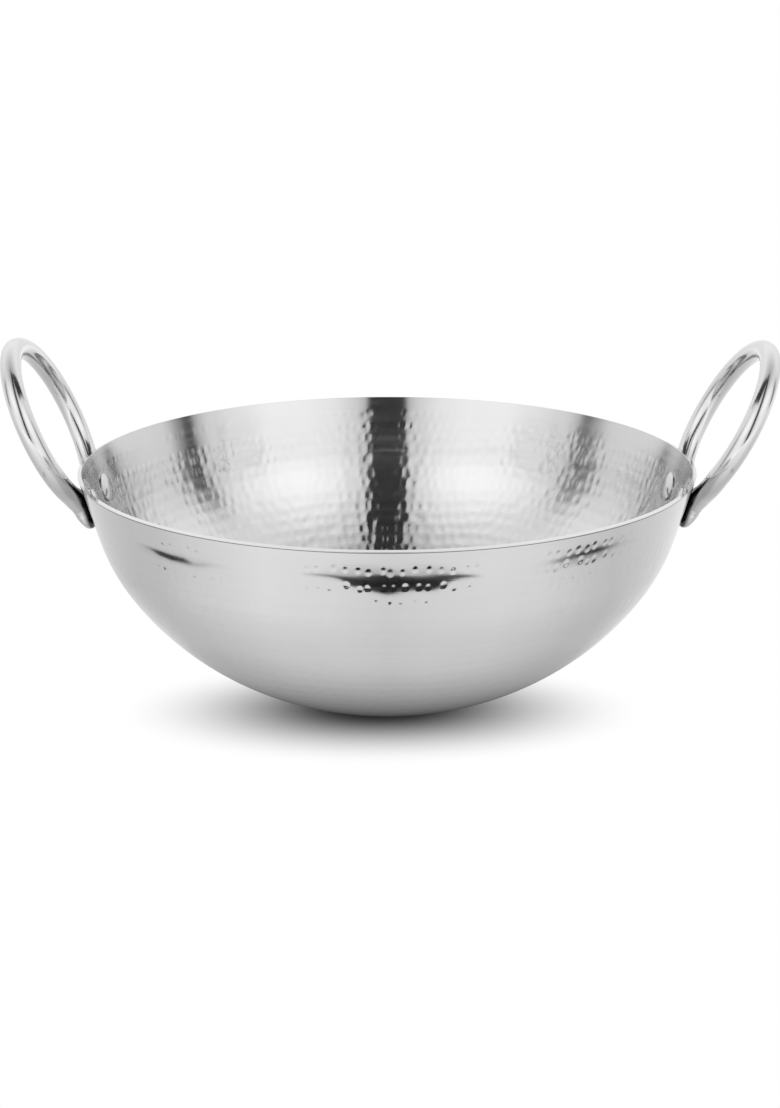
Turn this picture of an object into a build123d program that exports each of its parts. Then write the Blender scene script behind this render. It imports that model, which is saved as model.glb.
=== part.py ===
from build123d import *
from math import asin, cos, pi, radians, sin, sqrt, tan
import os

os.makedirs("parts", exist_ok=True)

# A hammered steel kadai: a deep round bowl, and two ring handles of bent rod, each held on by two solid rivets.
# All lengths are in millimetres and all angles in degrees.
# The origin is the middle of the small flat under the bowl. +Z is up, and the handles are at -X and +X.

# Bowl
rim_radius = 130.3
bowl_depth = 103.5
wall_thickness = 2.0
base_radius = 10.0
flare_height = 26.0
flare_lean = 15.6
knee_share = 0.76
lip_share = 0.4

# Rivets
rivet_depth = 16.0
rivet_spacing = 26.0
shank_radius = 2.5
hole_clearance = 0.05
inner_head_radius = 6.3
inner_head_height = 2.0
outer_head_radius = 3.9
outer_head_height = 1.7
head_edge_share = 0.25
head_side_clearance = 0.15

# Handles: each is a ring of round rod whose two ends turn down into flattened feet. The middle of its rod dips
# to ring_dip below the rivets.
rod_diameter = 8.6
ring_radius = 35.0
ring_dip = 0.7
heel_radius = 10.0
foot_width = 14.0
foot_drop = 10.8
foot_lean = 22.6
bend_height = 18.0
left_ring_lean = 22.6
right_ring_lean = 26.8
standoff_share = 0.41
rivet_seat_share = 0.69
seat_gap = 0.05

# How far the cuts run past the faces that they cut
overrun = 1.0

# Sections of a foot, listed from its tip upward. Thickness and lift are shares of the rod's diameter, where lift
# is how far the section stands out from the handle's plane.
# On the straight run: place along it, width as a share of foot_width, thickness, lift
straight_shares = [
    (0.0, 0.36, 0.30, 0.03),
    (0.20, 0.68, 0.44, 0.06),
    (0.58, 0.93, 0.61, 0.08),
    (1.0, 1.0, 0.79, 0.09),
]
# Round the heel: place along it, how far the width has spread from rod_diameter to foot_width, thickness, lift
heel_shares = [
    (0.33, 0.95, 0.90, 0.09),
    (0.66, 0.78, 0.97, 0.07),
    (1.0, 0.46, 1.0, 0.04),
]
# On the lowest stretch of the ring, up to where the plain rod begins: the same four
ring_shares = [
    (0.5, 0.2, 1.0, 0.01),
    (1.0, 0.0, 1.0, 0.0),
]
# Where the plain rod begins, as a share of the ring's turn from where a heel joins it to its top, and how many
# sections carry the plain rod from there to the top
plain_rod_share = 0.06
plain_rod_sections = 12

# Sizes that follow from the ones above
lip_radius = lip_share * wall_thickness
rivet_height = bowl_depth - rivet_depth
rivet_wall_radius = rim_radius - rivet_depth * tan(radians(flare_lean))
rivet_angle = asin(rivet_spacing / 2 / rivet_wall_radius)
rivet_seat = rivet_seat_share * rod_diameter
foot_place = rivet_wall_radius * cos(rivet_angle) + standoff_share * rod_diameter
ring_centre_height = ring_radius - ring_dip


def bowl_radii():
    """Radii of the bottom arc and the tighter knee arc, which join the base flat to the flared wall smoothly."""
    whole = radians(90 - flare_lean)
    first = knee_share * whole
    run = rim_radius - flare_height * tan(radians(flare_lean)) - base_radius
    rise = bowl_depth - flare_height
    bottom_run, bottom_rise = sin(first), 1 - cos(first)
    knee_run, knee_rise = sin(whole) - sin(first), cos(first) - cos(whole)
    scale = bottom_run * knee_rise - knee_run * bottom_rise
    bottom = (run * knee_rise - rise * knee_run) / scale
    knee = (rise * bottom_run - run * bottom_rise) / scale
    return bottom, knee


def bowl_outline(inset, top):
    """Half of the bowl's section, from its axis to its wall, drawn inside the outer face by inset, up to top."""
    bottom_radius, knee_radius = bowl_radii()
    whole_turn = 90 - flare_lean
    lean = radians(flare_lean)
    wall_radius = rim_radius - inset / cos(lean) + (top - bowl_depth) * tan(lean)
    with BuildSketch(Plane.XZ) as outline:
        with BuildLine():
            flat = Line((0, inset), (base_radius, inset))
            bottom = JernArc(flat @ 1, flat % 1, bottom_radius - inset, knee_share * whole_turn)
            knee = JernArc(bottom @ 1, bottom % 1, knee_radius - inset, (1 - knee_share) * whole_turn)
            wall = Line(knee @ 1, (wall_radius, top))
            Polyline(wall @ 1, (0, top), flat @ 0)
        make_face()
    return outline.sketch


def rivet_plane(angle):
    """The place where a rivet crosses the bowl's outer face. Its z direction points straight out of the wall."""
    lean = radians(flare_lean)
    place = Vector(rivet_wall_radius * cos(angle), rivet_wall_radius * sin(angle), rivet_height)
    outward = Vector(cos(angle) * cos(lean), sin(angle) * cos(lean), -sin(lean))
    return Plane(origin=place, x_dir=Vector(-sin(angle), cos(angle), 0), z_dir=outward)


rivet_angles = {
    "rivet_right_front": -rivet_angle,
    "rivet_right_rear": rivet_angle,
    "rivet_left_front": pi + rivet_angle,
    "rivet_left_rear": pi - rivet_angle,
}


# Bowl: one sheet of steel, flat only in the middle of its underside, with a softly rounded lip
with BuildPart() as bowl:
    revolve(bowl_outline(0, bowl_depth), axis=Axis.Z)
    revolve(bowl_outline(wall_thickness, bowl_depth + overrun), axis=Axis.Z, mode=Mode.SUBTRACT)
    lip_edges = bowl.edges().filter_by(GeomType.CIRCLE).group_by(Axis.Z)[-1]
    fillet(lip_edges, lip_radius)
    for angle in rivet_angles.values():
        with Locations(rivet_plane(angle)):
            Cylinder(shank_radius + hole_clearance, 2 * (wall_thickness + overrun), mode=Mode.SUBTRACT)

bowl.part.label = "bowl"
export_step(bowl.part, "parts/bowl.step")


def make_handle(ring_lean):
    """The handle at +X: a ring of round rod that leans outward by ring_lean above the bend, on two flat feet."""
    across = Vector(0, 1, 0)

    def upward(lean):
        return Vector(sin(radians(lean)), 0, cos(radians(lean)))

    foot_origin = Vector(foot_place, 0, rivet_height)
    bend_origin = foot_origin + upward(foot_lean) * bend_height

    def section_plane(place, height, heading, lift):
        """Square to the rod where it passes place across and height up the handle, running along heading."""
        if height > bend_height:
            up = upward(ring_lean)
            centre = bend_origin + up * (height - bend_height)
        else:
            up = upward(foot_lean)
            centre = foot_origin + up * height
        outward = across.cross(up)
        along = across * cos(heading) + up * sin(heading)
        return Plane(centre + across * place + outward * lift, x_dir=along.cross(outward), z_dir=along)

    # The heel's arc touches the ring from outside and the straight foot at its upper end
    foot_middle = rivet_spacing / 2
    heel_middle = foot_middle + heel_radius
    heel_height = ring_centre_height - sqrt((ring_radius + heel_radius) ** 2 - heel_middle**2)
    touch_angle = asin(heel_middle / (ring_radius + heel_radius))
    heel_turn = pi / 2 - touch_angle
    rod_start = touch_angle + plain_rod_share * (pi - touch_angle)

    sections = []
    for place, width, thickness, lift in straight_shares:
        height = place * (heel_height + foot_drop) - foot_drop
        plane = section_plane(foot_middle, height, pi / 2, lift * rod_diameter)
        sections.append((plane, width * foot_width, thickness * rod_diameter))
    for place, spread, thickness, lift in heel_shares:
        turned = place * heel_turn
        beside = heel_middle - heel_radius * cos(turned)
        height = heel_height + heel_radius * sin(turned)
        plane = section_plane(beside, height, pi / 2 - turned, lift * rod_diameter)
        sections.append((plane, rod_diameter + spread * (foot_width - rod_diameter), thickness * rod_diameter))
    for place, spread, thickness, lift in ring_shares:
        turned = touch_angle + place * (rod_start - touch_angle)
        beside = ring_radius * sin(turned)
        height = ring_centre_height - ring_radius * cos(turned)
        plane = section_plane(beside, height, turned, lift * rod_diameter)
        sections.append((plane, rod_diameter + spread * (foot_width - rod_diameter), thickness * rod_diameter))

    for count in range(plain_rod_sections):
        turned = rod_start + (pi - rod_start) * (count + 1) / plain_rod_sections
        height = ring_centre_height - ring_radius * cos(turned)
        sections.append((section_plane(ring_radius * sin(turned), height, turned, 0), rod_diameter, rod_diameter))

    with BuildPart() as handle:
        # Half of the handle, from the tip of one foot to the top of the ring, then its other half
        for plane, width, thickness in sections:
            with BuildSketch(plane):
                Ellipse(width / 2, thickness / 2)
        loft()
        mirror(about=Plane.XZ)
        # The seat on the bowl's wall, the rivet holes and a flat for each outer rivet head
        revolve(bowl_outline(-seat_gap, bowl_depth), axis=Axis.Z, mode=Mode.SUBTRACT)
        for angle in (-rivet_angle, rivet_angle):
            with Locations(rivet_plane(angle)):
                Cylinder(shank_radius + hole_clearance, 2 * (rod_diameter + overrun), mode=Mode.SUBTRACT)
            with Locations(rivet_plane(angle).offset(rivet_seat)):
                Cylinder(
                    outer_head_radius + head_side_clearance,
                    rod_diameter,
                    align=(Align.CENTER, Align.CENTER, Align.MIN),
                    mode=Mode.SUBTRACT,
                )
    return handle


handle_right = make_handle(right_ring_lean)
handle_right.part.label = "handle_right"
export_step(handle_right.part, "parts/handle_right.step")

left_pattern = make_handle(left_ring_lean)
with BuildPart() as handle_left:
    mirror(left_pattern.part, about=Plane.YZ)

handle_left.part.label = "handle_left"
export_step(handle_left.part, "parts/handle_left.step")


def make_rivet(angle):
    """A solid rivet, its large head inside the bowl and its small one on the foot, turned about its own axis."""
    crossing = rivet_plane(angle)
    # A flat head on the hollow wall touches it at two sides, so its middle stands off by the wall's rise there
    inner_stand = inner_head_radius**2 / (2 * (rivet_wall_radius - wall_thickness))
    inner_base = -wall_thickness - inner_stand
    inner_edge = inner_base - head_edge_share * inner_head_height
    outer_edge = rivet_seat + head_edge_share * outer_head_height
    section = Plane(crossing.origin, x_dir=crossing.x_dir, z_dir=crossing.x_dir.cross(crossing.z_dir))
    with BuildPart() as rivet:
        with BuildSketch(section):
            with BuildLine():
                inner_top = (0, inner_base - inner_head_height)
                inner_dome = TangentArc(inner_top, (inner_head_radius, inner_edge), tangent=(1, 0))
                sides = Polyline(
                    inner_dome @ 1,
                    (inner_head_radius, inner_base),
                    (shank_radius, inner_base),
                    (shank_radius, rivet_seat),
                    (outer_head_radius, rivet_seat),
                    (outer_head_radius, outer_edge),
                )
                outer_dome = TangentArc((0, rivet_seat + outer_head_height), sides @ 1, tangent=(1, 0))
                Line(outer_dome @ 0, inner_dome @ 0)
            make_face()
        revolve(axis=Axis(crossing.origin, crossing.z_dir))
    return rivet


for name, angle in rivet_angles.items():
    rivet = make_rivet(angle)
    rivet.part.label = name
    export_step(rivet.part, "parts/" + name + ".step")
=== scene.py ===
from math import cos, pi, radians, sin, tan

import bpy
import numpy as np
from mathutils import Matrix, Vector


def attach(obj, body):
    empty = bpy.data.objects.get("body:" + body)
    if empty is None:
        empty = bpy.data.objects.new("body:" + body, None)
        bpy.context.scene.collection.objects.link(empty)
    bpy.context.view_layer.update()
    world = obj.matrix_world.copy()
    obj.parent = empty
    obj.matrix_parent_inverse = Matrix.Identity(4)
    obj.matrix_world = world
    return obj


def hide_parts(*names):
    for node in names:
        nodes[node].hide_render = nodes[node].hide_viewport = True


# A hammered steel kadai on a white floor. The bowl, with its hammer marks as real shape, and the two ring
# handles are rebuilt as smooth meshes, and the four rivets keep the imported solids. All lengths are in metres
# unless a name ends in _mm or a comment says millimetres.
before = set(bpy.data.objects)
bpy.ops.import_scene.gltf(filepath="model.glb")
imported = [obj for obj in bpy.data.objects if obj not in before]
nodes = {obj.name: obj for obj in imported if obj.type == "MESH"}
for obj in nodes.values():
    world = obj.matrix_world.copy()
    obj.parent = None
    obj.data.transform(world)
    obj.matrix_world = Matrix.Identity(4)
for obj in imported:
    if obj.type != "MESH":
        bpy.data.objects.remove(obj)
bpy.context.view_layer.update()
scene = bpy.context.scene

# Camera: where it stands, what it looks at, and the photograph's frame in pixels
camera_place = Vector((0.0, -0.63006, 0.26326))
camera_target = Vector((0.00117, 0.0, 0.06128))
camera_roll = radians(-0.071)
focal_pixels = 1517.6
frame_height_pixels = 1108
sensor_height_mm = 36.0

# Light that skims round inside the bowl is mirrored many times before it leaves
mirror_bounces = 12
all_bounces = 16

# Bowl profile, in millimetres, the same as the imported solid's. The outer face stands in by outer_inset_mm at
# the rim, which fades out towards the base from inset_end_mm to inset_start_mm along the outline.
rim_radius_mm = 130.3
bowl_depth_mm = 103.5
wall_mm = 2.0
base_radius_mm = 10.0
flare_height_mm = 26.0
flare_lean = radians(15.6)
knee_share = 0.76
outer_inset_mm = 0.3
inset_start_mm = 20.0
inset_end_mm = 100.0
lip_drop_mm = 0.115
outer_corner_mm = 0.08
inner_corner_mm = 0.15

# Hammer marks: dents outside, bulges inside. The first rows lie this far below the rim, and the rest a row's
# pitch apart.
first_rows_mm = (7.9, 14.9, 20.2)
row_pitch_mm = 6.1
mark_pitch_mm = 4.4
dent_half_width_mm = 1.45
dent_half_height_mm = 1.9
dent_depth_mm = 0.029
bulge_half_width_mm = 2.2
bulge_half_height_mm = 2.6
bulge_depth_mm = 0.042
mark_place_jitter = 0.26
mark_row_jitter_mm = 0.4
mark_size_jitter = 0.16
mark_depth_jitter = 0.35
fewest_marks = 6
# Below the first rows the marks are larger. At the bowl's two sides they are deeper, but for the first row's.
lower_size = 1.35
first_depth_growth = 0.0
depth_growth = 1.2
# How far each row comes to lie lower on the bowl's left and right sides than at its front and back
first_wanders_mm = ((-0.6, -1.6), (2.6, -2.6), (2.0, -3.2), (1.5, -5.0))
lower_wander_mm = (1.0, -4.0)
most_wander_mm = 0.8
wander_start, wander_reach = 0.2, 0.33
# The sheet's slow unevenness: waves of random rate along the outline, in radians per millimetre, of random
# number round the bowl, and of random weight
ripple_depth_mm = 0.007
ripple_count = 24
ripple_rates = (0.15, 0.5)
ripple_turns = (8, 40)
ripple_weights = (0.5, 1.0)
ripple_lift = 2
ripple_base_share = 0.5
inside_ripple_share = 1.6
# Inside, the marks begin this far below the lip, over this distance, and the sheet is rougher further down
inside_first_mm = 5.5
inside_first_fade_mm = 3.5
inside_rough_mm = 46.0
inside_rough_fade_mm = 28.0
inside_rough_gain = 1.0
seed = 7

# A shallow groove runs round the outside just below the lip
groove_place_mm = 0.45
groove_reach_mm = 0.5
groove_depth_mm = 0.025
groove_step_mm = 0.1
groove_tail_reaches = 2.5
# Painted shade in the groove, a dark line: half the line's width, the softness of its edge, and how dark it is
groove_shade_half_mm = 0.16
groove_shade_edge_mm = 0.07
groove_shade_dark = 0.7

# Handles, in millimetres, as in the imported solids, with a rod that stays just inside theirs. Each half is a
# short straight foot, a heel bent round it and then the ring. The leans are from the vertical.
rod_mm = 8.58
ring_radius_mm = 35.0
ring_dip_mm = 0.7
heel_radius_mm = 10.0
foot_drop_mm = 10.8
foot_lean = radians(22.6)
bend_height_mm = 18.0
ring_leans = {"handle_left": radians(22.6), "handle_right": radians(26.8)}
standoff_mm = 3.5
rivet_depth_mm = 16.0
rivet_spacing_mm = 26.0
# Along a half from the foot's tip: distance, width, thickness, and how far it stands out from the handle's
# plane
foot_stops_mm = [
    (0.0, 5.0, 2.6, 0.25),
    (1.3, 9.5, 3.8, 0.5),
    (3.7, 13.0, 5.2, 0.7),
    (6.4, 14.0, 6.8, 0.75),
    (9.8, 13.6, 7.7, 0.75),
    (13.2, 12.8, 8.3, 0.6),
    (16.8, 11.1, rod_mm, 0.35),
    (19.5, 9.7, rod_mm, 0.1),
    (22.2, rod_mm, rod_mm, 0.0),
]
tip_round_mm = 1.4
tip_blunt_mm = 0.1
# Painted shade on the feet's skin in the gap next to the wall: how far out and how high it goes,
# the softness of its edge, and how dark it is
gap_shade_reach_mm = 2.9
gap_shade_top_mm = 100.5
gap_shade_edge_mm = 0.35
gap_shade_dark = 0.82
# The feet are pressed flat round the outer rivet heads: how high above the wall, how wide, and how steeply
# the flat rises back to the foot's own face beyond it. They sink a little into the bowl's wall.
head_seat_mm = 6.0
head_flat_mm = 4.2
head_rise = 0.55
seat_sink_mm = 0.05
handle_step_mm = 0.4
handle_smooth_steps = 11
handle_sides = 48

# The bowl's mesh: rings along the outline, finer in the top fine_height_mm and in the groove, with
# most_around vertices round the widest ones and never fewer than fewest_around
fine_step_mm = 0.6
coarse_step_mm = 2.2
fine_height_mm = 23.5
inside_step_mm = 1.6
base_gap_mm = 3.0
inside_start_mm = 0.5
corner_steps = 3
most_around = 1280
fewest_around = 32
narrowest_share = 0.55
slope_step_mm = 0.02


def put(tree, kind, values=None, out=0, **settings):
    """Adds a shader node, sets or links its inputs, and returns one of its outputs."""
    made = tree.nodes.new(kind)
    for name, value in settings.items():
        setattr(made, name, value)
    for socket, value in (values or {}).items():
        if isinstance(value, bpy.types.NodeSocket):
            tree.links.new(value, made.inputs[socket])
        else:
            made.inputs[socket].default_value = value
    return made.outputs[out] if len(made.outputs) else made


def math_node(tree, operation, first, second=0.0, clamp=False):
    return put(tree, "ShaderNodeMath", {0: first, 1: second}, operation=operation, use_clamp=clamp)


def scaled(tree, value, factor, offset):
    """value times factor, plus offset."""
    return put(tree, "ShaderNodeMath", {0: value, 1: factor, 2: offset}, operation="MULTIPLY_ADD")


def mixed(tree, share, first, second):
    """first to second as share goes from 0 to 1."""
    return put(tree, "ShaderNodeMix", {0: share, 2: first, 3: second}, data_type="FLOAT")


def mapped(tree, value, start, end, first=0.0, last=1.0, kind="LINEAR"):
    """first to last as value goes from start to end, and held beyond them."""
    values = {0: value, 1: start, 2: end, 3: first, 4: last}
    return put(tree, "ShaderNodeMapRange", values, interpolation_type=kind)


def ramp(tree, value, stops):
    """Grey levels along value, from (place, level) stops."""
    made = tree.nodes.new("ShaderNodeValToRGB")
    tree.links.new(value, made.inputs[0])
    elements = made.color_ramp.elements
    while len(elements) > 1:
        elements.remove(elements[-1])
    for count, (place, level) in enumerate(stops):
        element = elements[0] if count == 0 else elements.new(place)
        element.position = place
        element.color = (level, level, level, 1.0)
    return made.outputs[0]


def new_material(name):
    made = bpy.data.materials.new(name)
    made.use_nodes = True
    made.node_tree.nodes.clear()
    return made


def link_object(name, mesh):
    made = bpy.data.objects.new(name, mesh)
    scene.collection.objects.link(made)
    return made


# Camera
camera_data = bpy.data.cameras.new("camera")
camera_data.sensor_fit = "VERTICAL"
camera_data.sensor_height = sensor_height_mm
camera_data.lens = sensor_height_mm * focal_pixels / frame_height_pixels
camera = link_object("camera", camera_data)
forward = (camera_target - camera_place).normalized()
turn = forward.to_track_quat("-Z", "Y").to_matrix().to_4x4() @ Matrix.Rotation(camera_roll, 4, "Z")
camera.matrix_world = Matrix.Translation(camera_place) @ turn
scene.camera = camera
scene.view_settings.view_transform = "Standard"
scene.cycles.glossy_bounces = mirror_bounces
scene.cycles.max_bounces = all_bounces

# World: white to the eye, and plain soft panels with a few dark gaps to polished metal. Stops are
# (place, level).
world_light = 1.0
panel_level = 1.37
height_stops = [
    (0.0, 0.87), (0.3, 0.87), (0.45, 0.98), (0.6, 1.0), (0.7, 0.98), (0.85, 0.85), (1.0, 0.6),
]
# The front gap's half width by height, and the light beside it by distance from its middle in half widths
gap_width_stops = [(0.25, 0.134), (0.5, 0.14), (0.7, 0.135), (0.9, 0.112), (1.0, 0.09)]
gap_reach = 4.0
front_gap_stops = [
    (0.88, 0.03), (0.98, 0.25), (1.08, 0.55), (1.3, 0.6), (1.5, 0.7), (1.8, 0.75), (2.6, 0.9), (4.0, 1.0),
]
gap_end = (0.0, 0.16)
# From front to rear, beside the gaps at the two sides and in them, and how much of the gaps is left by height
side_stops = [
    (0.0, 1.0), (0.2, 1.05), (0.33, 0.93), (0.42, 0.78), (0.6, 0.75), (0.7, 0.8), (1.0, 0.87),
]
side_gap_stops = [
    (0.0, 1.0), (0.2, 1.05), (0.33, 0.93), (0.42, 0.75), (0.465, 0.5), (0.485, 0.1), (0.5, 0.05),
    (0.515, 0.1), (0.53, 0.25), (0.55, 0.35), (0.58, 0.6), (0.61, 0.75), (0.7, 0.8), (1.0, 0.87),
]
left_gap_share = 0.8
side_gap_height_stops = [(0.3, 1.0), (0.42, 0.75), (0.57, 0.2), (0.77, 0.0)]

world = bpy.data.worlds.new("studio")
scene.world = world
world.use_nodes = True
tree = world.node_tree
tree.nodes.clear()
direction = put(tree, "ShaderNodeTexCoord")
parts = put(tree, "ShaderNodeSeparateXYZ", {0: direction}).node.outputs
across = math_node(tree, "ABSOLUTE", parts[0])
rearward = scaled(tree, parts[1], 0.5, 0.5)
height = ramp(tree, parts[2], height_stops)
from_middle = math_node(tree, "DIVIDE", across, ramp(tree, parts[2], gap_width_stops))
from_middle = math_node(tree, "DIVIDE", from_middle, gap_reach, clamp=True)
front_gap = ramp(tree, from_middle, [(place / gap_reach, level) for place, level in front_gap_stops])
front_gap = mixed(tree, mapped(tree, parts[1], *gap_end), front_gap, 1.0)
to_left = math_node(tree, "LESS_THAN", parts[0], 0.0)
gap_share = mixed(tree, to_left, 1.0, left_gap_share)
gap_share = math_node(tree, "MULTIPLY", gap_share, ramp(tree, parts[2], side_gap_height_stops))
sides = mixed(tree, gap_share, ramp(tree, rearward, side_stops), ramp(tree, rearward, side_gap_stops))
level = math_node(tree, "MULTIPLY", height, math_node(tree, "MULTIPLY", front_gap, sides))
panels = put(tree, "ShaderNodeBackground", {0: level, 1: panel_level})
white = put(tree, "ShaderNodeBackground", {0: (1, 1, 1, 1), 1: 1.0})
soft = put(tree, "ShaderNodeBackground", {0: (1, 1, 1, 1), 1: world_light})
path = tree.nodes.new("ShaderNodeLightPath").outputs
seen = put(tree, "ShaderNodeMixShader", {0: path["Is Glossy Ray"], 1: soft, 2: panels})
seen = put(tree, "ShaderNodeMixShader", {0: path["Is Camera Ray"], 1: seen, 2: white})
put(tree, "ShaderNodeOutputWorld", {0: seen})

# Floor: white to the eye, with painted soft shadows close to the bowl at its front and rear, each given by its
# middle and by how much its width counts, and both fading out over shadow_fade. Inside them a darker floor
# also takes the bowl's real shadow. Polished metal sees the floor as painted levels by distance and bearing
# from the bowl's axis, as (metres, level) and (degrees from the front, level), with painted shade under the
# bowl down to under_level, which fades out over under_reach.
floor_half = 6.0
floor_colour = 0.8
shadows = [((-0.003, -0.0275), 0.49), ((0.0, 0.06), 0.8)]
shadow_colour = 0.25
shadow_fade = (0.008, 0.056)
floor_reach = 1.2
floor_peak = 1.35
floor_stops = [(0.06, 0.78), (0.12, 0.8), (0.18, 0.88), (0.3, 1.0), (0.6, 1.15), (1.2, 1.27)]
under_reach = (0.03, 0.12)
under_level = 0.03
# Nearer the axis both sides are alike, so degrees count to either side of the front
near_bearing_stops = [(0, 1.0), (12, 1.04), (30, 1.0), (60, 0.82), (78, 0.81), (105, 1.0)]
far_bearing_stops = [
    (-180, 0.9), (-120, 0.8), (-90, 0.75), (-75, 0.8), (-60, 0.95), (-35, 1.15), (-15, 1.1), (0, 1.0),
    (30, 1.1), (45, 1.05), (60, 0.9), (75, 0.8), (120, 0.95), (180, 0.95),
]
# The first comes in over this distance from the axis, and the second then takes over
near_bearing_reach = (0.072, 0.1)
far_bearing_reach = (0.105, 0.18)
# Dark strips on the floor that only polished metal sees: bearing in degrees from the front, distance of the
# strip's middle from the bowl's axis in millimetres, half its width in millimetres, and how dark it is
thin_strips = [
    (-90, 232, 0, 0), (-80, 224.5, 1, 0.4), (-75, 220.5, 2, 0.95), (-69, 216.5, 2.5, 0.95),
    (-63, 214.5, 2, 0.9), (-59, 212, 1, 0.3), (-50, 210.5, 1, 0.1), (-44, 209, 1, 0), (-24, 207.5, 0.5, 0),
    (-19, 207, 0.5, 0.8), (-13, 206, 1, 0.98), (-10, 204, 3, 0.98), (0, 202, 5, 0.98), (13, 203, 4, 0.98),
    (17, 204.5, 2, 0.98), (22, 206, 1, 0.95), (27, 207, 0.5, 0), (46, 213, 1, 0), (52, 214.5, 1.5, 0.7),
    (58, 218, 2, 0.95), (67, 222, 2, 0.95), (73, 225, 1, 0.4), (80, 231, 1, 0), (90, 236, 0, 0),
]
thin_edge_mm = 0.3
soft_strips = [
    (-90, 228, 2, 0), (-76, 220, 2.5, 0.15), (-62, 213.5, 2.5, 0.2), (-50, 210, 2, 0), (-18, 208.5, 2.5, 0),
    (-12, 208.5, 2.5, 0.25), (12, 208.5, 2.5, 0.25), (20, 209, 2.5, 0), (40, 209, 3.5, 0),
    (50, 212.5, 4, 0.1), (61, 217.5, 4.5, 0.4), (69, 221.5, 4, 0.3), (76, 226.5, 3.5, 0.1), (88, 235, 3, 0),
]
soft_edge_mm = 2.5
strip_reach_mm = 240.0


def long_ramp(tree, value, reach, peak, stops):
    """A ramp over 0 to reach whose levels may pass 1, up to peak."""
    levels = ramp(tree, mapped(tree, value, 0.0, reach), [(at / reach, level / peak) for at, level in stops])
    return math_node(tree, "MULTIPLY", levels, peak)


def turn_share(degrees):
    """A bearing from -180 to 180 degrees as a share from 0 to 1."""
    return degrees / 360 + 0.5


def side_share(degrees):
    """A bearing to either side, from 0 to 180 degrees, as a share from 0 to 1."""
    return degrees / 180


floor_mesh = bpy.data.meshes.new("floor")
signs = ((-1, -1), (1, -1), (1, 1), (-1, 1))
floor_mesh.from_pydata([(floor_half * x, floor_half * y, 0) for x, y in signs], [], [(0, 1, 2, 3)])
floor = link_object("floor", floor_mesh)
material = new_material("floor")
tree = material.node_tree
place = put(tree, "ShaderNodeTexCoord", out=3)
parts = put(tree, "ShaderNodeSeparateXYZ", {0: place}).node.outputs
distances = []
for middle, share in shadows:
    wide = math_node(tree, "MULTIPLY", math_node(tree, "SUBTRACT", parts[0], middle[0]), share)
    deep = math_node(tree, "SUBTRACT", parts[1], middle[1])
    narrowed = put(tree, "ShaderNodeCombineXYZ", {0: wide, 1: deep})
    distances.append(put(tree, "ShaderNodeVectorMath", {0: narrowed}, out=1, operation="LENGTH"))
distance = math_node(tree, "MINIMUM", *distances)
# Painted shadow: a mask that mixes a dark floor into the white
clear = mapped(tree, distance, *shadow_fade, kind="SMOOTHSTEP")
contact = put(tree, "ShaderNodeBsdfDiffuse", {0: (shadow_colour,) * 3 + (1,)})
plain = put(tree, "ShaderNodeEmission", {0: (1, 1, 1, 1), 1: 1.0})
shown = put(tree, "ShaderNodeMixShader", {0: clear, 1: contact, 2: plain})
from_axis = put(tree, "ShaderNodeVectorMath", {0: place}, out=1, operation="LENGTH")
bearing = math_node(tree, "ARCTAN2", parts[0], math_node(tree, "MULTIPLY", parts[1], -1.0))
bearing = scaled(tree, bearing, 1 / (2 * pi), 0.5)
to_side = math_node(tree, "ABSOLUTE", scaled(tree, bearing, 2.0, -1.0))
by_bearing = 1.0
for turn, share, stops, reach in (
    (to_side, side_share, near_bearing_stops, near_bearing_reach),
    (bearing, turn_share, far_bearing_stops, far_bearing_reach),
):
    turned = long_ramp(tree, turn, 1.0, floor_peak, [(share(at), level) for at, level in stops])
    by_bearing = mixed(tree, mapped(tree, from_axis, *reach), by_bearing, turned)
by_distance = long_ramp(tree, from_axis, floor_reach, floor_peak, floor_stops)
level = math_node(tree, "MULTIPLY", by_bearing, by_distance)
# Painted shade under the bowl, on the floor that polished metal sees
under = mapped(tree, from_axis, *under_reach, under_level, 1.0, "SMOOTHSTEP")
level = math_node(tree, "MULTIPLY", level, under)
for strips, edge in ((thin_strips, thin_edge_mm), (soft_strips, soft_edge_mm)):
    middle, half, dark = (
        ramp(tree, bearing, [(turn_share(row[0]), row[part] / reach) for row in strips])
        for part, reach in ((1, strip_reach_mm), (2, strip_reach_mm), (3, 1.0))
    )
    aside = math_node(tree, "DIVIDE", from_axis, strip_reach_mm / 1000)
    aside = math_node(tree, "ABSOLUTE", math_node(tree, "SUBTRACT", aside, middle))
    aside = math_node(tree, "MULTIPLY", math_node(tree, "SUBTRACT", aside, half), strip_reach_mm)
    covered = mapped(tree, aside, -edge, edge, 1.0, 0.0, "SMOOTHSTEP")
    covered = math_node(tree, "MULTIPLY", covered, dark)
    level = math_node(tree, "MULTIPLY", level, math_node(tree, "SUBTRACT", 1.0, covered))
mirrored = put(tree, "ShaderNodeEmission", {0: level, 1: 1.0})
matt = put(tree, "ShaderNodeBsdfDiffuse", {0: (floor_colour,) * 3 + (1,)})
path = tree.nodes.new("ShaderNodeLightPath").outputs
seen = put(tree, "ShaderNodeMixShader", {0: path["Is Glossy Ray"], 1: matt, 2: mirrored})
seen = put(tree, "ShaderNodeMixShader", {0: path["Is Camera Ray"], 1: seen, 2: shown})
put(tree, "ShaderNodeOutputMaterial", {0: seen})
floor_mesh.materials.append(material)

# A dark upright card high over the bowl that only polished metal sees, and only the handles broadside
card_corners = [(0, 0.06, 0.23), (0, -0.15, 0.42), (0, -0.15, 1.5), (0, 0.06, 1.5)]
card_level = 0.04

card_mesh = bpy.data.meshes.new("card_overhead")
card_mesh.from_pydata(card_corners, [], [(0, 1, 2, 3)])
card = link_object("card_overhead", card_mesh)
material = new_material("card_overhead")
glow = put(material.node_tree, "ShaderNodeEmission", {0: (1, 1, 1, 1), 1: card_level})
put(material.node_tree, "ShaderNodeOutputMaterial", {0: glow})
card_mesh.materials.append(material)
card.visible_camera = False
card.visible_diffuse = False
card.visible_shadow = False

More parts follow.
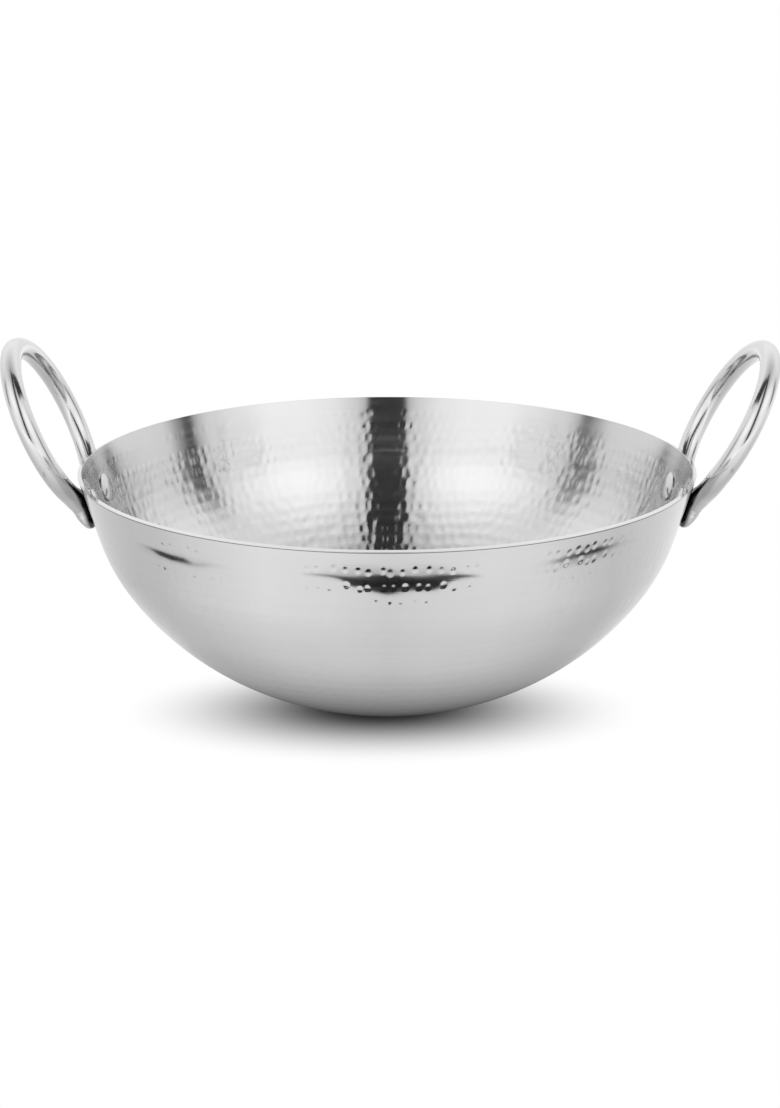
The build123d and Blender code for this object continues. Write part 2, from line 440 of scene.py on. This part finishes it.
# Steels: each has fine lines round the bowl's axis, broader ones and a mottle, from noises whose scales are
# per metre. A radian round the axis counts as line_turn metres, which draws a noise out into lines. The
# finest lines' depths are in metres.
bowl_grey = 0.68
rod_grey = 0.66
polished_lines = 0.000001
brushed_lines = 0.0000006
fine_noise = {"Scale": 2600.0, "Detail": 2.0, "Roughness": 0.6}
broad_noise = {"Scale": 420.0, "Detail": 3.0, "Roughness": 0.55}
mottle_noise = {"Scale": 38.0, "Detail": 2.0}
line_turn = 0.004
broad_share = 0.6
noise_low, noise_high = 0.3, 0.7
roughness_spread = 0.2
quarter_turn = 0.25


def steel(name, colour, roughness, lines, streak, anisotropy=0.0, groove_shade=False, scale=False):
    """Steel of a grey level and a roughness. lines is the depth of the finest lines in metres, and streak how
    far its colour varies. groove_shade adds a painted shade line in the groove below the lip, and scale
    paints shade on the feet's skin in the gap next to the bowl's wall."""
    material = new_material(name)
    tree = material.node_tree
    place = put(tree, "ShaderNodeTexCoord", out=3)
    parts = put(tree, "ShaderNodeSeparateXYZ", {0: place}).node.outputs
    flat_place = put(tree, "ShaderNodeCombineXYZ", {0: parts[0], 1: parts[1]})
    out = put(tree, "ShaderNodeVectorMath", {0: flat_place}, out=1, operation="LENGTH")
    bearing = math_node(tree, "ARCTAN2", parts[1], parts[0])
    around = math_node(tree, "MULTIPLY", math_node(tree, "ABSOLUTE", bearing), line_turn)
    along = put(tree, "ShaderNodeCombineXYZ", {0: out, 1: parts[2], 2: around})
    fine = put(tree, "ShaderNodeTexNoise", {0: along, **fine_noise})
    broad = put(tree, "ShaderNodeTexNoise", {0: along, **broad_noise})
    mottle = put(tree, "ShaderNodeTexNoise", {0: place, **mottle_noise})
    both = mixed(tree, broad_share, mottle, broad)
    shade = mapped(tree, both, noise_low, noise_high, colour * (1 - streak), colour * (1 + streak))
    # Painted shade: a dark line along the groove below the lip
    if groove_shade:
        groove_height = bowl_depth_mm - groove_place_mm * cos(flare_lean)
        aside = math_node(tree, "SUBTRACT", math_node(tree, "MULTIPLY", parts[2], 1000), groove_height)
        aside = math_node(tree, "ABSOLUTE", aside)
        near, far = groove_shade_half_mm - groove_shade_edge_mm, groove_shade_half_mm + groove_shade_edge_mm
        shade = math_node(tree, "MULTIPLY", shade, mapped(tree, aside, near, far, 1 - groove_shade_dark, 1.0))
    # Painted shade on the feet, in the gap between them and the bowl's wall
    if scale:
        height = math_node(tree, "MULTIPLY", parts[2], 1000)
        wall = scaled(tree, height, tan(flare_lean), rim_radius_mm - bowl_depth_mm * tan(flare_lean))
        gap = math_node(tree, "SUBTRACT", math_node(tree, "MULTIPLY", out, 1000), wall)
        near, far = gap_shade_reach_mm - gap_shade_edge_mm, gap_shade_reach_mm + gap_shade_edge_mm
        beside = mapped(tree, gap, near, far, 1.0, 0.0)
        near, far = gap_shade_top_mm - gap_shade_edge_mm, gap_shade_top_mm + gap_shade_edge_mm
        below = mapped(tree, height, near, far, gap_shade_dark, 0.0)
        covered = math_node(tree, "MULTIPLY", beside, below)
        shade = math_node(tree, "MULTIPLY", shade, math_node(tree, "SUBTRACT", 1.0, covered))
    smoother, rougher = roughness * (1 - roughness_spread), roughness * (1 + roughness_spread)
    rough = mapped(tree, broad, noise_low, noise_high, smoother, rougher)
    bump = put(tree, "ShaderNodeBump", {"Strength": 1.0, "Distance": lines, "Height": fine})
    tangent = put(tree, "ShaderNodeTangent", direction_type="RADIAL", axis="Z")
    inputs = {
        "Base Color": shade,
        "Metallic": 1.0,
        "Roughness": rough,
        "Normal": bump,
        "Anisotropic": anisotropy,
        "Anisotropic Rotation": quarter_turn,
        "Tangent": tangent,
    }
    shader = put(tree, "ShaderNodeBsdfPrincipled", inputs)
    put(tree, "ShaderNodeOutputMaterial", {0: shader})
    return material


outside_steel = steel(
    "bowl_outside", bowl_grey, roughness=0.055, lines=polished_lines, streak=0.02, groove_shade=True
)
inside_steel = steel(
    "bowl_inside", bowl_grey, roughness=0.145, lines=brushed_lines, streak=0.025, anisotropy=0.98
)
handle_steel = steel(
    "handle_steel", rod_grey, roughness=0.15, lines=polished_lines, streak=0.01, scale=True
)
rivet_steel = steel("rivet_steel", rod_grey, roughness=0.16, lines=polished_lines, streak=0.01)


def outline():
    """The bowl's outer face from the middle of its base to its rim, in millimetres: its whole length, and a
    function that gives radius, height and heading at a length along it."""
    whole = pi / 2 - flare_lean
    first = knee_share * whole
    run = rim_radius_mm - flare_height_mm * tan(flare_lean) - base_radius_mm
    rise = bowl_depth_mm - flare_height_mm
    bottom_run, bottom_rise = sin(first), 1 - cos(first)
    knee_run, knee_rise = sin(whole) - sin(first), cos(first) - cos(whole)
    scale = bottom_run * knee_rise - knee_run * bottom_rise
    bottom = (run * knee_rise - rise * knee_run) / scale
    knee = (rise * bottom_run - run * bottom_rise) / scale
    stretches = [base_radius_mm, bottom * first, knee * (whole - first), flare_height_mm / cos(flare_lean)]
    ends = np.cumsum(stretches)
    knee_radius, knee_height = base_radius_mm + bottom * bottom_run, bottom * bottom_rise

    def at(s):
        """Radius, height and angle of the heading at length s from the base's middle."""
        if s <= ends[0]:
            return s, 0.0, 0.0
        if s <= ends[1]:
            angle = (s - ends[0]) / bottom
            return base_radius_mm + bottom * sin(angle), bottom * (1 - cos(angle)), angle
        if s <= ends[2]:
            angle = first + (s - ends[1]) / knee
            radius = knee_radius + knee * (sin(angle) - sin(first))
            return radius, knee_height + knee * (cos(first) - cos(angle)), angle
        along = s - ends[2]
        wall_radius = rim_radius_mm - flare_height_mm * tan(flare_lean)
        return wall_radius + along * sin(flare_lean), rise + along * cos(flare_lean), whole

    return ends[-1], at


def smooth_step(share):
    """0 to 1 as share goes from 0 to 1, with level ends."""
    return share**2 * (3 - 2 * share)


outline_length, outline_at = outline()
# The lip is cut square to the wall
lip_place = outline_length - lip_drop_mm

# Hammer rows: each is its pitch in radians, and its marks' bearings, lengths along the outline, sizes and
# depths
draw = np.random.default_rng(seed)
rows = []
row_places = [outline_length - down for down in first_rows_mm]
while row_places[-1] > base_radius_mm + row_pitch_mm:
    row_places.append(row_places[-1] - row_pitch_mm)
wanders = list(first_wanders_mm)
while len(wanders) < len(row_places):
    wanders.append(lower_wander_mm + draw.uniform(-most_wander_mm, most_wander_mm, 2))
for row_place, (to_left, to_right) in zip(row_places, wanders):
    row_radius = outline_at(row_place)[0]
    count = max(fewest_marks, round(2 * pi * row_radius / mark_pitch_mm))
    pitch = 2 * pi / count
    shifts = draw.uniform(-mark_place_jitter, mark_place_jitter, count)
    bearings = (np.arange(count) + shifts + draw.uniform()) * pitch
    places = row_place + draw.normal(0, mark_row_jitter_mm, count)
    # A row wanders up and down round the bowl, and its marks are deeper at the two sides
    sideways = np.cos(bearings)
    share = np.clip((abs(sideways) - wander_start) / wander_reach, 0, 1)
    places -= np.where(sideways < 0, to_left, to_right) * smooth_step(share)
    growth = lower_size if len(rows) >= len(first_rows_mm) else 1.0
    sizes = growth * (1 + draw.uniform(-mark_size_jitter, mark_size_jitter, count))
    depths = growth * (1 + draw.uniform(-mark_depth_jitter, mark_depth_jitter, count))
    depths *= 1 + (depth_growth if rows else first_depth_growth) * sideways**2
    rows.append((pitch, bearings, places, sizes, depths))
ripples = []
for _ in range(ripple_count):
    rate, turns = draw.uniform(*ripple_rates), draw.integers(*ripple_turns)
    ripples.append((rate, turns, draw.uniform(0, 2 * pi), draw.uniform(*ripple_weights)))


def marks(along, bearing, radius, half_width, half_height, deepest):
    """Depth of the hammer marks, in millimetres, at arrays of length along the outline and bearing."""
    depth = np.zeros_like(along)
    for pitch, bearings, places, sizes, depths in rows:
        edge = half_height * sizes.max()
        near = (along > places.min() - edge) & (along < places.max() + edge)
        if not near.any():
            continue
        s, b, r = along[near], bearing[near], radius[near]
        count = len(bearings)
        whole = np.zeros_like(s)
        nearest = np.floor((b - bearings[0]) / pitch).astype(int)
        for step in (-1, 0, 1, 2):
            index = (nearest + step) % count
            apart = (b - bearings[index] + pi) % (2 * pi) - pi
            sideways = apart * r / (half_width * sizes[index])
            upward = (s - places[index]) / (half_height * sizes[index])
            reach = np.clip(1 - sideways**2 - upward**2, 0, None)
            whole += deepest * depths[index] * reach**2
        depth[near] += whole
    return depth


def ripple(along, bearing):
    """A slow unevenness of the hammered sheet, in millimetres."""
    total = np.zeros_like(along)
    for rate, turns, phase, weight in ripples:
        total += weight * np.sin(along * rate + turns * bearing + phase)
    fade = np.clip((outline_length - along) / row_pitch_mm, 0, 1)
    fade = fade * np.clip(along / base_radius_mm - ripple_base_share, 0, 1)
    return ripple_depth_mm * (total / ripple_count**0.5 + ripple_lift) * fade


def outside_relief(along, bearing, radius):
    dents = marks(along, bearing, radius, dent_half_width_mm, dent_half_height_mm, dent_depth_mm)
    groove = np.exp(-(((outline_length - groove_place_mm - along) / groove_reach_mm) ** 2))
    return dents + ripple(along, bearing) + groove_depth_mm * groove


def inside_relief(along, bearing, radius):
    bulges = marks(along, bearing, radius, bulge_half_width_mm, bulge_half_height_mm, bulge_depth_mm)
    below = outline_length - along
    bulges *= np.clip((below - inside_first_mm) / inside_first_fade_mm, 0, 1)
    rougher = 1 + inside_rough_gain * np.clip((below - inside_rough_mm) / inside_rough_fade_mm, 0, 1)
    return rougher * (bulges + inside_ripple_share * ripple(along, bearing))


def bowl_rings():
    """Rings of the bowl's mesh from the outer base over the lip to the inner base: (length along the outline,
    radius, height, the normal's radial and upward parts, share of the relief, number around)."""
    rings = []

    def around_for(radius, step):
        number = most_around
        while number > fewest_around and 2 * pi * radius / number < narrowest_share * step:
            number //= 2
        return number

    def walk(start, end, step_for):
        """Places from start to end in steps that step_for gives, stretched to end just there."""
        places = [start]
        while places[-1] < end:
            places.append(places[-1] + step_for(places[-1]))
        places = np.array(places)
        return start + (places - start) * (end - start) / (places[-1] - start)

    fine_start = outline_length - fine_height_mm

    def inset(s):
        """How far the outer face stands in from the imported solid's, which fades out towards the base."""
        share = min(max((s - inset_start_mm) / (inset_end_mm - inset_start_mm), 0.0), 1.0)
        return outer_inset_mm * smooth_step(share)

    groove_start = outline_length - groove_place_mm - groove_tail_reaches * groove_reach_mm

    def outer_step(s):
        if s > groove_start:
            return groove_step_mm
        return fine_step_mm if s > fine_start else coarse_step_mm

    def outer_number(s, radius):
        if s > groove_start:
            return most_around // 2
        return most_around if s > fine_start else around_for(radius, coarse_step_mm)

    for s in walk(base_gap_mm, lip_place - outer_corner_mm, outer_step):
        radius, height, angle = outline_at(s)
        place = radius - inset(s) * sin(angle), height + inset(s) * cos(angle)
        rings.append((s, *place, sin(angle), -cos(angle), -1.0, outer_number(s, radius)))
    # The lip's two rounded corners, with its flat between them: each one's radius, how far its centre stands
    # in from the outline, and the angle at which its arc starts
    lip_number = rings[-1][-1]
    for corner, stand_in, first in (
        (outer_corner_mm, outer_inset_mm + outer_corner_mm, 0.0),
        (inner_corner_mm, wall_mm - inner_corner_mm, pi / 2),
    ):
        radius, height, _ = outline_at(lip_place - corner)
        radius -= stand_in * cos(flare_lean)
        height += stand_in * sin(flare_lean)
        for turned in np.linspace(first, first + pi / 2, corner_steps + 1):
            out_part = cos(turned) * cos(flare_lean) + sin(turned) * sin(flare_lean)
            up_part = sin(turned) * cos(flare_lean) - cos(turned) * sin(flare_lean)
            place = radius + corner * out_part, height + corner * up_part
            rings.append((lip_place, *place, out_part, up_part, 0.0, lip_number))

    inner_start = lip_place - inner_corner_mm
    for back in walk(inside_start_mm, inner_start - base_gap_mm, lambda back: inside_step_mm):
        s = inner_start - back
        radius, height, angle = outline_at(s)
        place = radius - wall_mm * sin(angle), height + wall_mm * cos(angle)
        rings.append((s, *place, -sin(angle), cos(angle), 1.0, around_for(radius, inside_step_mm)))
    return rings


def build_bowl():
    """The bowl as one closed mesh, with every mark's slope in its vertex normals."""
    vertices, normals, starts = [], [], []
    rings = bowl_rings()
    total = 0
    inner_from = None
    for count, (s, radius, height, out_part, up_part, share, number) in enumerate(rings):
        bearing = np.arange(number) * 2 * pi / number
        along = np.full(number, s)
        wide = np.full(number, outline_at(s)[0])
        if share:
            relief = outside_relief if share < 0 else inside_relief
            depth = relief(along, bearing, wide)
            beyond, before = (relief(along + step, bearing, wide) for step in (slope_step_mm, -slope_step_mm))
            rise = (beyond - before) / (2 * slope_step_mm)
            turn = slope_step_mm / wide
            beyond, before = (relief(along, bearing + step, wide) for step in (turn, -turn))
            swing = (beyond - before) / (2 * slope_step_mm)
        else:
            depth = rise = swing = np.zeros(number)
        push = depth * share
        # The way that the length along the outline grows, from the face's normal
        heading = (up_part, -out_part) if share > 0 else (-up_part, out_part)
        outward = np.stack([np.cos(bearing), np.sin(bearing)], 1)
        sideways = np.stack([-np.sin(bearing), np.cos(bearing)], 1)
        flat = outward * (radius + push * out_part)[:, None]
        vertices.append(np.column_stack([flat, height + push * up_part]))
        tilt_out = out_part - share * rise * heading[0]
        tilt_up = up_part - share * rise * heading[1]
        flat_normal = outward * tilt_out[:, None] - sideways * (share * swing)[:, None]
        normal = np.column_stack([flat_normal, tilt_up])
        normals.append(normal / np.linalg.norm(normal, axis=1)[:, None])
        starts.append(total)
        total += number
        if share > 0 and inner_from is None:
            inner_from = count
    points = np.concatenate(vertices) / 1000
    points = np.vstack([points, [[0, 0, 0], [0, 0, wall_mm / 1000]]])
    slopes = np.vstack([np.concatenate(normals), [[0, 0, -1], [0, 0, 1]]])
    faces, inside = [], []

    def band(low, high, is_inside):
        """Faces between two rings, one of which may have twice the other's vertices."""
        first, number = starts[low], rings[low][-1]
        second, other = starts[high], rings[high][-1]
        made = []
        for k in range(min(number, other)):
            if number == other:
                after = (k + 1) % number
                made.append((first + k, first + after, second + after, second + k))
            elif other == 2 * number:
                here, after = first + k, first + (k + 1) % number
                a, b, c = second + 2 * k, second + 2 * k + 1, second + (2 * k + 2) % other
                made += [(here, b, a), (here, after, b), (after, c, b)]
            else:
                here, after = second + k, second + (k + 1) % other
                a, b, c = first + 2 * k, first + 2 * k + 1, first + (2 * k + 2) % number
                made += [(a, b, here), (b, after, here), (b, c, after)]
        faces.extend(made)
        inside.extend([is_inside] * len(made))

    for count in range(len(rings) - 1):
        band(count, count + 1, count + 1 >= inner_from)
    # The base's two middles
    first, number = starts[0], rings[0][-1]
    faces += [(total, first + (k + 1) % number, first + k) for k in range(number)]
    last, other = starts[-1], rings[-1][-1]
    faces += [(total + 1, last + k, last + (k + 1) % other) for k in range(other)]
    inside += [False] * number + [True] * other
    mesh = bpy.data.meshes.new("bowl_hammered")
    mesh.from_pydata(points.tolist(), [], faces)
    mesh.materials.append(outside_steel)
    mesh.materials.append(inside_steel)
    mesh.polygons.foreach_set("material_index", np.array(inside, dtype=np.int32))
    mesh.polygons.foreach_set("use_smooth", np.ones(len(faces), dtype=bool))
    mesh.normals_split_custom_set_from_vertices(slopes.tolist())
    return link_object("bowl_hammered", mesh)


bowl = build_bowl()
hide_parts("bowl")
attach(bowl, "root")


def build_handle(name, ring_lean, side):
    """One handle as a closed sweep along its bent rod, from foot to foot. side is 1 at +X and -1 at -X."""
    foot_middle = rivet_spacing_mm / 2
    heel_middle = foot_middle + heel_radius_mm
    centre_height = ring_radius_mm - ring_dip_mm
    both = ring_radius_mm + heel_radius_mm
    heel_height = centre_height - (both**2 - heel_middle**2) ** 0.5
    touch_angle = np.arcsin(heel_middle / both)
    straight = heel_height + foot_drop_mm
    heel = heel_radius_mm * (pi / 2 - touch_angle)
    ring = ring_radius_mm * (pi - touch_angle)
    length = straight + heel + ring
    half = np.linspace(0, length, round(length / handle_step_mm) + 1)

    # Place across and height up the handle's plane, on the three stretches in turn
    on_heel = np.clip(half - straight, 0, heel) / heel_radius_mm
    across = heel_middle - heel_radius_mm * np.cos(on_heel)
    up = np.minimum(half, straight) - foot_drop_mm + heel_radius_mm * np.sin(on_heel)
    on_ring = half > straight + heel
    turned = touch_angle + (half[on_ring] - straight - heel) / ring_radius_mm
    across[on_ring] = ring_radius_mm * np.sin(turned)
    up[on_ring] = centre_height - ring_radius_mm * np.cos(turned)
    distance, *shapes = np.array(foot_stops_mm).T
    width, thickness, lift = (np.interp(half, distance, shape) for shape in shapes)

    # Both halves, smoothed where one stretch meets the next
    lean = np.where(up > bend_height_mm, ring_lean, foot_lean)
    wall_radius = rim_radius_mm - rivet_depth_mm * tan(flare_lean)
    rivet_height = bowl_depth_mm - rivet_depth_mm
    origin = np.array([(wall_radius**2 - foot_middle**2) ** 0.5 + standoff_mm, 0, rivet_height])
    low, high = np.minimum(up, bend_height_mm), np.maximum(up - bend_height_mm, 0)
    centres = origin + np.column_stack([
        low * sin(foot_lean) + high * sin(ring_lean) + lift * np.cos(lean), across,
        low * cos(foot_lean) + high * cos(ring_lean) - lift * np.sin(lean),
    ])
    rows = np.column_stack([centres, np.cos(lean), -np.sin(lean), width, thickness])
    other = rows[-2::-1] * np.array([1, -1, 1, 1, 1, 1, 1])
    rows = np.vstack([rows, other])
    kernel = np.hanning(handle_smooth_steps + 2)[1:-1]
    padded = np.pad(rows, ((handle_smooth_steps // 2,) * 2, (0, 0)), mode="reflect", reflect_type="odd")
    rows = np.column_stack([np.convolve(column, kernel / kernel.sum(), "valid") for column in padded.T])

    centres, width, thickness = rows[:, :3], rows[:, 5], rows[:, 6]
    outward = np.column_stack([rows[:, 3], np.zeros(len(rows)), rows[:, 4]])
    along = np.gradient(centres, axis=0)
    along /= np.linalg.norm(along, axis=1)[:, None]
    sideways = np.cross(along, outward)
    sideways /= np.linalg.norm(sideways, axis=1)[:, None]
    from_tip = np.minimum(np.arange(len(rows)), np.arange(len(rows))[::-1]) * handle_step_mm
    rounding = np.sqrt(1 - (1 - np.clip((from_tip + tip_blunt_mm) / tip_round_mm, 0, 1)) ** 2)
    bearing = np.arange(handle_sides) * 2 * pi / handle_sides
    half_width = np.outer(width * rounding / 2, np.cos(bearing))[:, :, None]
    half_thickness = np.outer(thickness * rounding / 2, np.sin(bearing))[:, :, None]
    points = centres[:, None] + sideways[:, None] * half_width + outward[:, None] * half_thickness
    points = np.vstack([points.reshape(-1, 3), centres[0], centres[-1]])

    # The feet are pressed down round the outer rivet heads
    for turned in (-1, 1):
        angle = np.arcsin(foot_middle / wall_radius) * turned
        axis = np.array([cos(angle) * cos(flare_lean), sin(angle) * cos(flare_lean), -sin(flare_lean)])
        start = np.array([wall_radius * cos(angle), wall_radius * sin(angle), rivet_height])
        above = (points - start) @ axis
        beside = np.linalg.norm(points - start - above[:, None] * axis, axis=1)
        highest = head_seat_mm + head_rise * np.maximum(beside - head_flat_mm, 0)
        points -= axis * np.where(points[:, 2] < bowl_depth_mm, np.maximum(above - highest, 0), 0)[:, None]

    # The feet are flattened against the bowl's wall
    seat_radius = rim_radius_mm - (outer_inset_mm + seat_sink_mm) / cos(flare_lean)
    wall = seat_radius - (bowl_depth_mm - points[:, 2]) * tan(flare_lean)
    apart = np.linalg.norm(points[:, :2], axis=1)
    points[:, :2] *= (np.where(points[:, 2] < bowl_depth_mm, np.maximum(apart, wall), apart) / apart)[:, None]
    points[:, 0] *= side
    faces = []
    for count in range(len(rows) - 1):
        for k in range(handle_sides):
            after = (k + 1) % handle_sides
            low, high = count * handle_sides, (count + 1) * handle_sides
            faces.append((low + k, high + k, high + after, low + after)[::side])
    # The tips' two middles
    last = (len(rows) - 1) * handle_sides
    for k in range(handle_sides):
        after = (k + 1) % handle_sides
        faces.append((len(points) - 2, k, after)[::side])
        faces.append((len(points) - 1, last + after, last + k)[::side])
    mesh = bpy.data.meshes.new(name + "_smooth")
    mesh.from_pydata((points / 1000).tolist(), [], faces)
    mesh.polygons.foreach_set("use_smooth", np.ones(len(faces), dtype=bool))
    mesh.materials.append(handle_steel)
    handle = link_object(name + "_smooth", mesh)
    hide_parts(name)
    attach(handle, "root")


build_handle("handle_left", ring_leans["handle_left"], -1)
build_handle("handle_right", ring_leans["handle_right"], 1)

for name, node in nodes.items():
    if name.startswith("rivet"):
        node.data.materials.clear()
        node.data.materials.append(rivet_steel)
